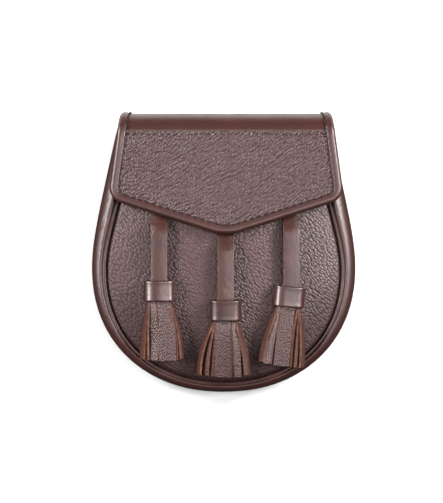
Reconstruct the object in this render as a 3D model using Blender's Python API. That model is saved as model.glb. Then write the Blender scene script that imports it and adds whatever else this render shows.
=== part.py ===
"""A leather day sporran: a domed pouch with a bound flap and three tassels, lying on its back.

+X is to the right as the front is seen, +Y is up towards the fold of the flap, and +Z comes out of the
front. The origin is the middle of the plane that the pouch rests on. Sizes are in millimetres, and MM makes
them metres.
"""

import math
from collections import namedtuple

import bmesh
import bpy
from mathutils import Euler, Vector

MM = 0.001
GAP = 0.3  # between pieces that touch

# ---- driving sizes ----

# An outline is a superellipse below its widest height, and two long, slightly hollow sides above it.
Outline = namedtuple("Outline", "centre_y half_width half_length power taper knee top_y")
BODY = Outline(-11.1, 95.4, 90.3, power=2.17, taper=0.24, knee=26.8, top_y=94.0)
PANEL = Outline(-13.2, 84.9, 80.8, power=2.16, taper=0.30, knee=21.8, top_y=94.0)
LOWER_SHARE = 0.60  # of each half outline that is below the widest height

LEATHER = 1.8  # wall of the panels and straps
PANEL_EDGE_Z = 31.0  # the front panel's face at its seam
PANEL_RISE = 9.0  # from there to the crown of the dome
PANEL_ROUND = 2.8  # how flat the dome's crown is
PANEL_SAG = 0.35  # share of the rise that is gone this far above the crown:
PANEL_SAG_LENGTH = 85.0
PANEL_TOP_Y = 72.0  # the mouth's front edge

GUSSET_WALL = 1.6
GUSSET_STEPS = 40
SEAM_RIDGE = 2.1  # width of the turned seam beside the front panel
REAR_SEAM = 8.7  # from the outline to the rear seam
ROLL_FULL = 10.2  # a wider roll rises no higher
GUSSET_TOP_Z = 36.3
PINCH_Y = 55.0  # above this the gusset narrows to fit inside the fold

BACK_PANEL_Z = 6.7
BACK_PANEL_THICK = 2.0
BACK_PANEL_TOP_Y = 79.0

FOLD_Y = 82.6  # the axis of the flap's fold
FOLD_Z = 22.3
FOLD_RADIUS = 15.9  # of the fold's inner face
HINGE_THICK = 1.5
FLAP_THICK = 2.2
LAP_THICK = 1.0  # each of the two leathers where they lap at the flap's seam
SEAM_S = -3.7  # the flap panel's top edge
LAP_LENGTH = 8.0
HINGE_REAR_S = -66.0
BINDING_REAR_S = -50.0
FLAP_SHIFT = 1.7  # the flap sits a little to the right
FLAP_LIFT = 5.4  # how much higher the flap's middle is at its tip than at the fold
FLAP_CROWN_HALF = 88.0

BINDING_WIDTH = 6.4
BINDING_WALL = 1.1
BINDING_STEP = 5.0  # length over which it thickens before it reaches the flap panel
BINDING_SLOT = 1.6  # from the binding's outer edge to the bottom of its groove
SHEET_INSET = BINDING_SLOT + GAP  # the leather inside it ends here

STRAP_WIDTH = 11.9
STRAP_SECTION = ((-0.5, 0.0), (0.5, 0.0), (0.5, 1.0), (-0.5, 1.0))  # across, and up from its lower face
STRAP_CLIMB = 15.5  # length over which a strap climbs from the panel to the height of its collar's middle
STRAP_IN_COLLAR = 8.0
COLLAR_HALF_WIDTH = 11.2
COLLAR_HALF_DEPTH = 5.8
COLLAR_LENGTH = 14.8
COLLAR_WALL = 1.6
COLLAR_POWER = 2.2
CORE_TOP = 1.5  # the tassel's head starts this far inside its collar
STRIP_ROOT = 10.0  # the strips start this far down, inside the head
STRIP_THICK = 1.7
STRIP_BOW = 2.6  # over 1, the strips leave the head slanting and end hanging straight

LOOP_X = 48.0
LOOP_Y = 37.0
LOOP_WIDTH = 18.0
LOOP_THICK = 1.6
LOOP_CLEAR = 25.0  # the straight stretch that a hanging strap passes through
LOOP_RAMP = 5.0
LOOP_FOOT = 8.0

STUD_Y = 43.0
STUD_RADIUS = 5.0

# The gusset's outer face, from the front seam to the rear seam. A row lies at share * roll + inset from the
# outline, at height + rise * roll, where roll is the band's width without the ridge.
GussetRow = namedtuple("GussetRow", "share inset height rise lined")
GUSSET_ROWS = (
    GussetRow(1.00, 2.1, 25.5, 0.00, True),  # the turned edge inside the front seam
    GussetRow(1.00, 2.1, 31.4, 0.00, True),
    GussetRow(1.00, 1.6, 32.1, 0.00, False),  # crest of the ridge beside the seam
    GussetRow(1.00, 0.9, 32.1, 0.00, False),
    GussetRow(1.00, 0.0, 31.7, 0.00, True),
    GussetRow(0.72, 0.0, 31.7, 0.26, True),
    GussetRow(0.45, 0.0, 31.7, 0.45, True),  # crown of the front roll
    GussetRow(0.20, 0.0, 31.2, 0.34, True),
    GussetRow(0.05, 0.2, 30.0, 0.12, False),
    GussetRow(0.00, 0.2, 26.5, 0.00, True),
    GussetRow(0.00, 0.0, 18.0, 0.00, True),
    GussetRow(0.00, 0.2, 9.5, 0.00, True),
    GussetRow(0.00, 0.9, 4.6, 0.00, False),
    GussetRow(0.00, 2.3, 1.3, 0.00, True),
    GussetRow(0.00, 4.8, 0.0, 0.00, True),  # the rear roll, which the pouch lies on
    GussetRow(0.00, 7.0, 1.2, 0.00, False),
    GussetRow(0.00, 8.4, 4.0, 0.00, True),
    GussetRow(0.00, 8.7, 7.0, 0.00, True),
    GussetRow(0.00, 8.7, 12.5, 0.00, True),  # the turned edge inside the rear seam
)

# The flap's bound edge, right half, as corners: across from the flap's middle, and along the flap from the
# front of the fold (down the front is positive, back over the fold is negative). steps divide the stretch
# before a corner.
FlapCorner = namedtuple("FlapCorner", "across along radius steps")
FLAP_CORNERS = (
    FlapCorner(across=73.0, along=BINDING_REAR_S, radius=0, steps=0),
    FlapCorner(across=79.0, along=0.0, radius=0, steps=13),
    FlapCorner(across=85.2, along=44.7, radius=12.0, steps=4),
    FlapCorner(across=0.0, along=71.9, radius=36.0, steps=5),
)
ARC_STEP = math.radians(14)

# Each tassel hangs from the top middle of its collar: turn swings its tip left, pitch lowers its tip, roll
# lowers its right side, and droop is how far its strips sag at their ends. height is the back of the collar
# there. strap_top is where its strap starts under the flap, and flap_end where it comes out from under it.
Tassel = namedtuple("Tassel", "side x y height turn pitch roll droop strap_x strap_top flap_end strips")
# One strip of a fringe, at its root in the head and at its tip: across (u) and outwards (w) from the tassel's
# middle, how far its face is turned from the front, and its width there.
Strip = namedtuple("Strip", "root_u root_w root_face root_width tip_u tip_w tip_face tip_width length")
LEFT_STRIPS = (
    Strip(-4.7, 1.8, 24, 5.0, -3.4, 2.8, 14, 5.6, 57.2),
    Strip(2.6, 1.8, -4, 9.4, 5.7, 3.1, -2, 12.8, 57.4),
    Strip(-7.4, 0.0, 80, 3.0, -9.2, -0.6, 84, 7.0, 56.8),
    Strip(-7.3, -0.4, 80, 2.4, -12.3, -1.2, 66, 7.0, 56.4),
    Strip(7.4, 0.0, -80, 3.0, 13.6, -0.4, -82, 7.0, 56.8),
    Strip(7.6, 0.0, -80, 2.4, 15.8, -0.8, -78, 6.4, 56.2),
    Strip(-3.5, -1.6, 0, 6.0, -4.6, -3.2, 0, 8.4, 55.4),
    Strip(3.5, -1.6, 0, 6.0, 5.0, -3.2, 0, 8.4, 55.2),
)
CENTRE_STRIPS = (
    Strip(-1.5, 1.8, 0, 10.6, -1.4, 3.2, 0, 13.4, 55.4),
    Strip(6.0, 1.2, -34, 4.4, 8.8, 2.7, -23, 5.4, 55.2),
    Strip(-7.2, 0.2, 76, 3.0, -10.0, 0.2, 80, 7.0, 55.0),
    Strip(-7.6, 0.0, 80, 2.8, -14.4, -0.2, 64, 7.2, 54.6),
    Strip(-7.6, -0.2, 84, 2.4, -19.1, -0.8, 78, 7.0, 54.2),
    Strip(7.6, 0.0, -80, 2.4, 16.4, -0.6, -74, 7.2, 54.4),
    Strip(-3.5, -1.6, 0, 6.0, -5.2, -3.2, 0, 8.0, 53.4),
    Strip(3.5, -1.6, 0, 6.0, 5.0, -3.2, 0, 8.0, 53.8),
)
RIGHT_STRIPS = (
    Strip(-0.8, 1.8, 0, 12.0, -1.5, 3.2, 0, 11.0, 57.4),
    Strip(-7.0, 1.0, 50, 3.2, -11.0, 2.2, 22, 5.6, 56.6),
    Strip(-7.6, 0.0, 80, 2.4, -15.4, -0.6, 74, 7.0, 55.8),
    Strip(7.0, 0.2, -80, 3.0, 5.0, 0.2, -88, 7.0, 57.2),
    Strip(7.4, 0.0, -80, 3.0, 9.8, -0.2, -62, 6.4, 57.6),
    Strip(7.6, -0.2, -80, 2.4, 13.5, -1.0, -80, 7.0, 57.4),
    Strip(-3.5, -1.6, 0, 6.0, -5.2, -3.2, 0, 8.0, 55.0),
    Strip(3.5, -1.6, 0, 6.0, 4.6, -3.2, 0, 8.0, 55.4),
)
TASSELS = (
    Tassel("left", -46.1, -20.6, 38.7, 0.4, 1.6, -3.0, 0.6, -46.3, 45.0, 25.0, LEFT_STRIPS),
    Tassel("centre", 1.3, -34.2, 40.3, 0.0, 4.6, 0.0, 2.6, 1.6, 31.0, 11.5, CENTRE_STRIPS),
    Tassel("right", 47.5, -24.6, 38.7, -5.2, 1.6, 3.0, 0.6, 48.7, 45.0, 24.7, RIGHT_STRIPS),
)

SMOOTH_BROWN = (0.085, 0.037, 0.031)
PEBBLED_BROWN = (0.105, 0.052, 0.048)
DARK_METAL = (0.30, 0.22, 0.14)


# ---- shapes that more than one piece follows ----


def eased(share):
    """0 to 1, level at both ends."""
    share = min(1.0, max(0.0, share))
    return share * share * (3 - 2 * share)


def half_width(outline, y):
    """Half of an outline's width at a height."""
    if y >= outline.centre_y:
        rise = y - outline.centre_y
        return outline.half_width - outline.taper * (math.hypot(rise, outline.knee) - outline.knee)
    drop = min(1.0, (outline.centre_y - y) / outline.half_length)
    return outline.half_width * (1 - drop**outline.power) ** (1 / outline.power)


def outline_point(outline, t):
    """The outline's point at t: -1 is its top left end, 0 the bottom and 1 its top right end."""
    along = abs(t) / LOWER_SHARE
    if along <= 1:
        angle = along * math.pi / 2
        x = outline.half_width * math.sin(angle) ** (2 / outline.power)
        y = outline.centre_y - outline.half_length * max(0.0, math.cos(angle)) ** (2 / outline.power)
    else:
        share = (abs(t) - LOWER_SHARE) / (1 - LOWER_SHARE)
        y = outline.centre_y + share * (outline.top_y - outline.centre_y)
        x = half_width(outline, y)
    return Vector((math.copysign(x, t), y))


def panel_height(x, y):
    """The front panel's outer face: a dome below, and a vault that sags towards the mouth above."""
    if y >= PANEL.centre_y:
        radius = abs(x) / half_width(PANEL, y)
    else:
        across = abs(x) / PANEL.half_width
        down = (PANEL.centre_y - y) / PANEL.half_length
        radius = (across**PANEL.power + down**PANEL.power) ** (1 / PANEL.power)
    above = max(0.0, y - PANEL.centre_y) / PANEL_SAG_LENGTH
    rise = PANEL_RISE * (1 - PANEL_SAG * above * above)
    return PANEL_EDGE_Z + rise * (1 - min(1.0, radius) ** PANEL_ROUND)


def flap_inner_z(x, y):
    """The inner face of the flap in front of the fold, which rises towards the tip and falls to the sides."""
    tip_y = FOLD_Y - FLAP_CORNERS[-1].along
    rise = FLAP_LIFT * eased((FOLD_Y - y) / (FOLD_Y - tip_y))
    return FOLD_Z + FOLD_RADIUS + rise * (1 - (x / FLAP_CROWN_HALF) ** 2)


def flap_point(across, along, lift):
    """A point of the flap: across and along it as in FLAP_CORNERS, lifted outwards from its inner face."""
    x = FLAP_SHIFT + across
    if along >= 0:
        y = FOLD_Y - along
        return Vector((x, y, flap_inner_z(x, y) + lift))
    turn = -along / FOLD_RADIUS
    radius = FOLD_RADIUS + lift
    if turn <= math.pi:
        return Vector((x, FOLD_Y + radius * math.sin(turn), FOLD_Z + radius * math.cos(turn)))
    return Vector((x, FOLD_Y - (turn - math.pi) * FOLD_RADIUS, FOLD_Z - radius))


def flap_edge():
    """Points along the flap's bound edge with the direction into the flap, from rear left to rear right."""
    left = [corner._replace(across=-corner.across) for corner in FLAP_CORNERS]
    right = [corner._replace(steps=FLAP_CORNERS[i + 1].steps) for i, corner in enumerate(FLAP_CORNERS[:-1])]
    corners = left + right[::-1]
    points = [Vector((corner.across, corner.along)) for corner in corners]
    legs = [(b - a).normalized() for a, b in zip(points, points[1:])]
    inward = [Vector((leg.y, -leg.x)) for leg in legs]
    edge = []
    start = points[0]
    for i, leg in enumerate(legs):
        last = i + 1 == len(legs)
        turn = 0.0 if last else leg.angle(legs[i + 1])
        radius = corners[i + 1].radius
        end = points[i + 1] - leg * (radius * math.tan(turn / 2))
        steps = corners[i + 1].steps
        edge += [(start.lerp(end, k / steps), inward[i]) for k in range(steps)]
        start = end
        if radius:
            arc_steps = math.ceil(turn / ARC_STEP)
            centre = end + inward[i] * radius
            for k in range(arc_steps):
                normal = inward[i].slerp(inward[i + 1], k / arc_steps)
                edge.append((centre - normal * radius, normal))
            start = centre - inward[i + 1] * radius
    return [*edge, (points[-1], inward[-1])]


def flap_side(along, inset):
    """How far across the flap's straight side lies at a place along it, an inset inside the edge."""
    rear, fold, corner = FLAP_CORNERS[:3]
    low, high = (rear, fold) if along < 0 else (fold, corner)
    slope = (high.across - low.across) / (high.along - low.along)
    return low.across + slope * (along - low.along) - inset * math.hypot(1, slope)


# ---- building blocks ----


def leather(name, colour, roughness=0.45, metallic=0.0):
    material = bpy.data.materials.new(name)
    material.use_nodes = True
    shader = material.node_tree.nodes["Principled BSDF"]
    shader.inputs["Base Color"].default_value = (*colour, 1)
    shader.inputs["Roughness"].default_value = roughness
    shader.inputs["Metallic"].default_value = metallic
    return material


def add_object(name, mesh, material, collection, smooth=True):
    """Makes an object of a bmesh whose points are in millimetres."""
    bmesh.ops.scale(mesh, vec=(MM, MM, MM), verts=mesh.verts)
    bmesh.ops.recalc_face_normals(mesh, faces=mesh.faces)
    data = bpy.data.meshes.new(name)
    mesh.to_mesh(data)
    mesh.free()
    data.materials.append(material)
    if smooth:
        data.shade_smooth()
        data.set_sharp_from_angle(angle=math.radians(40))
    result = bpy.data.objects.new(name, data)
    collection.objects.link(result)
    return result


def loft(rings, closed=False):
    """A closed body through rings of equally many points, capped at its ends unless it closes on itself."""
    mesh = bmesh.new()
    loops = [[mesh.verts.new(point) for point in ring] for ring in rings]
    pairs = list(zip(loops, loops[1:]))
    if closed:
        pairs.append((loops[-1], loops[0]))
    for one, other in pairs:
        for k in range(len(one)):
            j = (k + 1) % len(one)
            mesh.faces.new((one[k], one[j], other[j], other[k]))
    if not closed:
        mesh.faces.new(reversed(loops[0]))
        mesh.faces.new(loops[-1])
    bmesh.ops.triangulate(mesh, faces=mesh.faces)
    return mesh


def cut_sheet(outline, x_cuts, y_cuts, place):
    """A flat outline, cut along straight lines and given two faces, whose points place() then moves.

    place(x, y, outer) gives the point of the outer or the inner face.
    """
    mesh = bmesh.new()
    mesh.faces.new([mesh.verts.new((x, y, 0)) for x, y in outline])
    lines = [((x, 0, 0), (1, 0, 0)) for x in x_cuts] + [((0, y, 0), (0, 1, 0)) for y in y_cuts]
    for point, normal in lines:
        everything = mesh.verts[:] + mesh.edges[:] + mesh.faces[:]
        bmesh.ops.bisect_plane(mesh, geom=everything, plane_co=point, plane_no=normal, dist=1e-3)
    thick = bmesh.ops.extrude_face_region(mesh, geom=mesh.faces[:])
    moved = [item for item in thick["geom"] if isinstance(item, bmesh.types.BMVert)]
    bmesh.ops.translate(mesh, vec=(0, 0, 1), verts=moved)
    bmesh.ops.triangulate(mesh, faces=mesh.faces)
    for vert in mesh.verts:
        vert.co = place(vert.co.x, vert.co.y, vert.co.z > 0.5)
    return mesh


def spaced(first, last, step):
    """Values evenly between first and last, without the ends, about a step apart."""
    count = max(1, round((last - first) / step))
    return [first + (last - first) * k / count for k in range(1, count)]


# ---- the pouch ----


def gusset_limits(y):
    """The lowest and highest point of the gusset at a height: it narrows to pass inside the bound fold."""
    reach = FOLD_RADIUS - GAP - BINDING_WALL - GAP
    if y > FOLD_Y:
        half = math.sqrt(reach**2 - (y - FOLD_Y) ** 2)
        return FOLD_Z - half, FOLD_Z + half
    pinch = eased((y - PINCH_Y) / (FOLD_Y - PINCH_Y))
    return pinch * (FOLD_Z - reach), GUSSET_TOP_Z + pinch * (FOLD_Z + reach - GUSSET_TOP_Z)


def inner_wall(profile, wall):
    """The profile moved sideways by a wall's thickness, each corner along its bisector."""
    inner = []
    for i, point in enumerate(profile):
        before = (point - profile[max(0, i - 1)]).normalized() if i else None
        after = (profile[i + 1] - point).normalized() if i + 1 < len(profile) else None
        sides = [Vector((d.y, -d.x)) for d in (before, after) if d is not None]
        normal = sum(sides, Vector((0, 0))).normalized()
        inner.append(point + normal * wall / max(0.7, normal.dot(sides[0])))
    return inner


def gusset_ring(t):
    """The gusset's cross-section at t: its outer face, and back along its inner face."""
    outside, inside = outline_point(BODY, t), outline_point(PANEL, t)
    band = (inside - outside).length
    inward = (inside - outside) / band
    roll = band - SEAM_RIDGE
    full = min(roll, ROLL_FULL)
    outer = [Vector((row.share * roll + row.inset, row.height + row.rise * full)) for row in GUSSET_ROWS]
    lined = [point for point, row in zip(outer, GUSSET_ROWS) if row.lined]
    ring = []
    for across, height in outer + inner_wall(lined, -GUSSET_WALL)[::-1]:
        place = outside + inward * across
        low, high = gusset_limits(place.y)
        ring.append((place.x, place.y, low + (high - low) * height / GUSSET_TOP_Z))
    return ring


def make_gusset(material, parts):
    rings = [gusset_ring(2 * k / GUSSET_STEPS - 1) for k in range(GUSSET_STEPS + 1)]
    return add_object("gusset", loft(rings), material, parts)


def seam_outline(inset_of, top_y):
    """A panel's outline inside the gusset, from its top left corner round the bottom to its top right."""
    points = [inset_of(2 * k / (2 * GUSSET_STEPS) - 1) for k in range(2 * GUSSET_STEPS + 1)]
    points = [p for p in points if p.y < top_y - 2]
    corner = points[-1] + (points[-1] - points[-2]) * ((top_y - points[-1].y) / (points[-1] - points[-2]).y)
    return [Vector((-corner.x, top_y)), *points, corner]


def front_outline():
    """The front panel's edge, a gap inside the front seam."""

    def inset(t):
        seam, body = outline_point(PANEL, t), outline_point(BODY, t)
        return seam + (seam - body).normalized() * GAP

    return seam_outline(inset, PANEL_TOP_Y)


def back_outline():
    """The back panel's edge, a gap inside the rear seam."""

    def inset(t):
        seam, body = outline_point(PANEL, t), outline_point(BODY, t)
        return body + (seam - body).normalized() * (REAR_SEAM + GAP)

    return seam_outline(inset, BACK_PANEL_TOP_Y)


def make_front_panel(material, parts):
    def place(x, y, outer):
        return Vector((x, y, panel_height(x, y) - (0 if outer else LEATHER)))

    size = PANEL.half_width
    mesh = cut_sheet(front_outline(), spaced(-size, size, 13), spaced(-94, PANEL_TOP_Y, 13), place)
    return add_object("front_panel", mesh, material, parts)


def make_back_panel(material, parts):
    def place(x, y, outer):
        return Vector((x, y, BACK_PANEL_Z + (0 if outer else BACK_PANEL_THICK)))

    return add_object("back_panel", cut_sheet(back_outline(), [], [], place), material, parts, smooth=False)


# ---- the flap ----


def make_flap_hinge(material, parts):
    step = SEAM_S - GAP
    ramp = step - GAP

    def place(x, y, outer):
        thick = LAP_THICK if y > step - 1e-3 else HINGE_THICK
        return flap_point(x, y, thick if outer else 0.0)

    places = (HINGE_REAR_S, 0.0, SEAM_S + LAP_LENGTH - GAP)
    right = [Vector((flap_side(along, SHEET_INSET), along)) for along in places]
    outline = [Vector((-p.x, p.y)) for p in right] + right[::-1]
    straight = -math.pi * FOLD_RADIUS
    cuts = [straight, *spaced(straight, ramp, 3.6), ramp, step, 0.0]
    return add_object("flap_hinge", cut_sheet(outline, [], cuts, place), material, parts)


def make_flap_panel(material, parts):
    lap_end = SEAM_S + LAP_LENGTH

    def place(x, y, outer):
        inner = FLAP_THICK - LAP_THICK + 0.1 if y < lap_end + 1e-3 else 0.0
        return flap_point(x, y, FLAP_THICK if outer else inner)

    tip = FLAP_CORNERS[-1].along
    right = [Vector((flap_side(along, SHEET_INSET), along)) for along in (SEAM_S, 0.0)]
    rim = [point + inward * SHEET_INSET for point, inward in flap_edge() if point.y > 1]
    outline = [Vector((-p.x, p.y)) for p in right] + rim + right[::-1]
    cuts = [-2.2, 0.0, lap_end, lap_end + 1.2, *spaced(lap_end + 1.2, tip, 11)]
    mesh = cut_sheet(outline, spaced(-84, 84, 14), cuts, place)
    return add_object("flap_panel", mesh, material, parts)


def binding_ring(point, inward):
    """The binding's cross-section: two leaves round the edge of the hinge or of the thicker flap panel."""
    over_panel = eased((point.y - SEAM_S + BINDING_STEP + 3.0) / BINDING_STEP)
    sheet = HINGE_THICK + (FLAP_THICK - HINGE_THICK) * over_panel
    top = sheet + GAP
    bottom = -GAP
    middle = (top + bottom) / 2
    profile = (
        (BINDING_WIDTH, top + 0.8 * BINDING_WALL),
        (0.62 * BINDING_WIDTH, top + BINDING_WALL),
        (0.34 * BINDING_WIDTH, top + 0.95 * BINDING_WALL),
        (0.6, top + 0.2),
        (0.0, middle),
        (0.6, bottom - 0.2),
        (0.34 * BINDING_WIDTH, bottom - 0.95 * BINDING_WALL),
        (BINDING_WIDTH, bottom - BINDING_WALL),
        (BINDING_WIDTH, bottom),
        (BINDING_SLOT, bottom),
        (BINDING_SLOT, top),
        (BINDING_WIDTH, top),
    )
    ring = []
    for across, lift in profile:
        place = point + inward * across
        ring.append(flap_point(place.x, place.y, lift))
    return ring


def make_flap_binding(material, parts):
    rings = [binding_ring(point, inward) for point, inward in flap_edge()]
    return add_object("flap_binding", loft(rings), material, parts)


def make_flap_stud(material, parts):
    """A low press stud that fills the space between the panel and the flap."""
    ways = ((0, 0), (1, 0), (0, 1), (0, -1))
    rim = [(FLAP_SHIFT + dx * STUD_RADIUS, STUD_Y + dy * STUD_RADIUS) for dx, dy in ways]
    low = max(panel_height(x, y) for x, y in rim) + GAP
    high = min(flap_inner_z(x, y) for x, y in rim) - GAP
    mesh = bmesh.new()
    bmesh.ops.create_cone(
        mesh, cap_ends=True, segments=16, radius1=STUD_RADIUS, radius2=STUD_RADIUS, depth=high - low
    )
    bmesh.ops.translate(mesh, vec=(FLAP_SHIFT, STUD_Y, (low + high) / 2), verts=mesh.verts)
    return add_object("flap_stud", mesh, material, parts)


# ---- the tassels ----


def tassel_matrix(tassel):
    """Carries a point given as (across, up, outwards) from the top middle of a collar's back into place."""
    turn = Euler((math.radians(tassel.pitch), math.radians(tassel.roll), math.radians(tassel.turn)))
    matrix = turn.to_matrix().to_4x4()
    matrix.translation = Vector((tassel.x, tassel.y, tassel.height)) * MM
    return matrix


def oval(half_width_u, half_depth_w, angle):
    """A point of a flattened round section."""
    cos, sin = math.cos(angle), math.sin(angle)
    u = math.copysign(abs(cos) ** (2 / COLLAR_POWER), cos) * half_width_u
    w = math.copysign(abs(sin) ** (2 / COLLAR_POWER), sin) * half_depth_w
    return u, w


def make_collar(tassel, material, parts):
    """A sleeve of smooth leather with soft ends."""
    steps = 24
    profile = (  # share of the wall from the outer face, and distance down from the top
        (1.0, 0.0),
        (0.35, 0.0),
        (0.0, 0.8),
        (0.0, COLLAR_LENGTH - 0.8),
        (0.35, COLLAR_LENGTH),
        (1.0, COLLAR_LENGTH),
    )
    rings = []
    for k in range(steps):
        ring = []
        for share, down in profile:
            cut = share * COLLAR_WALL
            u, w = oval(COLLAR_HALF_WIDTH - cut, COLLAR_HALF_DEPTH - cut, 2 * math.pi * (k + 0.5) / steps)
            ring.append((u, -down, COLLAR_HALF_DEPTH + w))
        rings.append(ring)
    collar = add_object(f"tassel_collar_{tassel.side}", loft(rings, closed=True), material, parts)
    collar.matrix_world = tassel_matrix(tassel)
    return collar


def strip_ring(strip, down, droop):
    """The strip's section at a distance down: it leaves the head, then widens, spreads and droops."""
    clear = COLLAR_LENGTH + GAP
    free = max(0.0, (down - clear) / (strip.length - clear))
    spread = 1 - (1 - free) ** STRIP_BOW
    u = strip.root_u + (strip.tip_u - strip.root_u) * spread
    w = strip.root_w + (strip.tip_w - strip.root_w) * spread - droop * free**2
    face = math.radians(strip.root_face + (strip.tip_face - strip.root_face) * spread)
    width = strip.root_width + (strip.tip_width - strip.root_width) * min(1.0, 6 * free)
    side = Vector((math.cos(face), math.sin(face))) * width / 2
    out = Vector((-math.sin(face), math.cos(face))) * STRIP_THICK / 2
    middle = Vector((u, COLLAR_HALF_DEPTH + w))
    corners = (middle - side - out, middle + side - out, middle + side + out, middle - side + out)
    return [(corner.x, -down, corner.y) for corner in corners]


def strip_body(strip, droop):
    """One strip of a fringe, from its root in the head to its cut end."""
    steps = 5
    clear = COLLAR_LENGTH + GAP
    downs = [STRIP_ROOT] + [clear + (strip.length - clear) * (k / steps) ** 1.7 for k in range(steps + 1)]
    return loft([strip_ring(strip, down, droop) for down in downs])


def make_fringe(tassel, material, parts, cutters):
    """The rolled head inside the collar, slotted for the strap, with the strips joined to it."""
    name = f"tassel_fringe_{tassel.side}"
    steps = 20
    play = COLLAR_WALL + GAP
    rings = []
    for down in (CORE_TOP, COLLAR_LENGTH):
        ring = []
        for k in range(steps):
            angle = 2 * math.pi * (k + 0.5) / steps
            u, w = oval(COLLAR_HALF_WIDTH - play, COLLAR_HALF_DEPTH - play, angle)
            ring.append((u, -down, COLLAR_HALF_DEPTH + w))
        rings.append(ring)
    fringe = add_object(name, loft(rings), material, parts, smooth=False)
    fringe.matrix_world = tassel_matrix(tassel)
    tools = [("slot", strap_slot(), "DIFFERENCE")]
    for i, strip in enumerate(tassel.strips):
        tools.append((f"strip_{i}", strip_body(strip, tassel.droop), "UNION"))
    for label, mesh, operation in tools:
        tool = add_object(f"{name}_{label}", mesh, material, cutters, smooth=False)
        tool.matrix_world = fringe.matrix_world
        tool.hide_render = True
        tool.display_type = "WIRE"
        joint = fringe.modifiers.new(label, "BOOLEAN")
        joint.operation = operation
        joint.solver = "EXACT"
        joint.object = tool
    return fringe


def strap_slot():
    """The space in a tassel's head that the end of its strap goes into."""
    mesh = bmesh.new()
    bmesh.ops.create_cube(mesh, size=1)
    depth = STRAP_IN_COLLAR + GAP
    size = (STRAP_WIDTH + 2 * GAP, depth + CORE_TOP, LEATHER + 2 * GAP)
    bmesh.ops.scale(mesh, vec=size, verts=mesh.verts)
    bmesh.ops.translate(mesh, vec=(0, CORE_TOP / 2 - depth / 2, COLLAR_HALF_DEPTH), verts=mesh.verts)
    return mesh


def strap_ring(tassel, y, collar_height):
    """A strap's section at a height: flat on the panel's crown above flap_end, then climbing, then level."""
    x = tassel.strap_x
    left, middle, right = (panel_height(x + side * STRAP_WIDTH / 2, y) for side in (-1, 0, 1))
    climb = min(1.0, max(0.0, (tassel.flap_end - y) / STRAP_CLIMB))
    slope = (1 - climb) * (right - left) / STRAP_WIDTH - climb * math.tan(math.radians(tassel.roll))
    resting = max(middle, (left + right) / 2) + GAP
    lower = resting + climb * (collar_height - LEATHER / 2 - resting)
    corners = [(u * STRAP_WIDTH, w * LEATHER) for u, w in STRAP_SECTION]
    return [Vector((x + across, y, lower + slope * across + up)) for across, up in corners]


def make_strap(tassel, material, parts):
    """A flat strap that lies on the panel under the flap, climbs off it and runs level into its collar."""
    into = tassel_matrix(tassel)
    inside = []  # the end inside the collar, as rings of four corners
    for down in (0.5, STRAP_IN_COLLAR):
        ring = []
        for u, w in ((-0.5, -0.5), (0.5, -0.5), (0.5, 0.5), (-0.5, 0.5)):
            local = Vector((u * STRAP_WIDTH, -down, COLLAR_HALF_DEPTH + w * LEATHER)) * MM
            ring.append(into @ local / MM)
        inside.append(ring)
    collar_height = sum(corner.z for corner in inside[0]) / 4
    heights = [tassel.strap_top + (tassel.flap_end - tassel.strap_top) * k / 3 for k in range(4)]
    heights += [tassel.flap_end - STRAP_CLIMB * share for share in (0.35, 0.7, 1.0)]
    foot = tassel.y + 2.5
    heights += [heights[-1] + (foot - heights[-1]) * share for share in (0.33, 0.67, 1.0)]
    rings = [strap_ring(tassel, y, collar_height) for y in heights] + inside
    return add_object(f"tassel_strap_{tassel.side}", loft(rings), material, parts)


# ---- the back ----


def make_belt_loop(side, material, parts):
    """A strip of leather, fixed at its two ends, that stands off the back panel between them."""
    foot_z = BACK_PANEL_Z - GAP - LOOP_THICK
    half = LOOP_CLEAR / 2
    profile = (  # distance up from the middle of the loop, and the height of its outer face
        (-half - LOOP_RAMP - LOOP_FOOT, foot_z),
        (-half - LOOP_RAMP, foot_z),
        (-half - 0.65 * LOOP_RAMP, 0.7 * foot_z),
        (-half - 0.3 * LOOP_RAMP, 0.15 * foot_z),
        (-half, 0.0),
        (half, 0.0),
        (half + 0.3 * LOOP_RAMP, 0.15 * foot_z),
        (half + 0.65 * LOOP_RAMP, 0.7 * foot_z),
        (half + LOOP_RAMP, foot_z),
        (half + LOOP_RAMP + LOOP_FOOT, foot_z),
    )
    outer = [Vector(point) for point in profile]
    inner = inner_wall(outer, -LOOP_THICK)
    x = side * LOOP_X
    rings = []
    for (up, height), (inner_up, inner_height) in zip(outer, inner):
        left, right = x - LOOP_WIDTH / 2, x + LOOP_WIDTH / 2
        rings.append(
            [
                (left, LOOP_Y + up, height),
                (right, LOOP_Y + up, height),
                (right, LOOP_Y + inner_up, inner_height),
                (left, LOOP_Y + inner_up, inner_height),
            ]
        )
    name = "belt_loop_left" if side < 0 else "belt_loop_right"
    return add_object(name, loft(rings), material, parts)


def main():
    for old in list(bpy.data.objects):
        bpy.data.objects.remove(old, do_unlink=True)
    parts = bpy.data.collections.new("sporran_pouch")
    cutters = bpy.data.collections.new("sporran_pouch_cutters")
    for collection in (parts, cutters):
        bpy.context.scene.collection.children.link(collection)

    smooth = leather("smooth_leather", SMOOTH_BROWN, 0.35)
    pebbled = leather("pebbled_leather", PEBBLED_BROWN, 0.5)
    metal = leather("antique_brass", DARK_METAL, 0.35, 1.0)

    make_back_panel(smooth, parts)
    make_gusset(smooth, parts)
    make_front_panel(pebbled, parts)
    make_flap_hinge(smooth, parts)
    make_flap_panel(pebbled, parts)
    make_flap_binding(smooth, parts)
    make_flap_stud(metal, parts)
    for tassel in TASSELS:
        make_strap(tassel, smooth, parts)
        make_collar(tassel, smooth, parts)
        make_fringe(tassel, pebbled, parts, cutters)
    for side in (-1, 1):
        make_belt_loop(side, smooth, parts)


main()
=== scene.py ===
"""A brown leather day sporran that lies on its back, seen from straight above.

The tables and sizes are in millimetres, and MM makes them metres when a piece is finished.
"""

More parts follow.
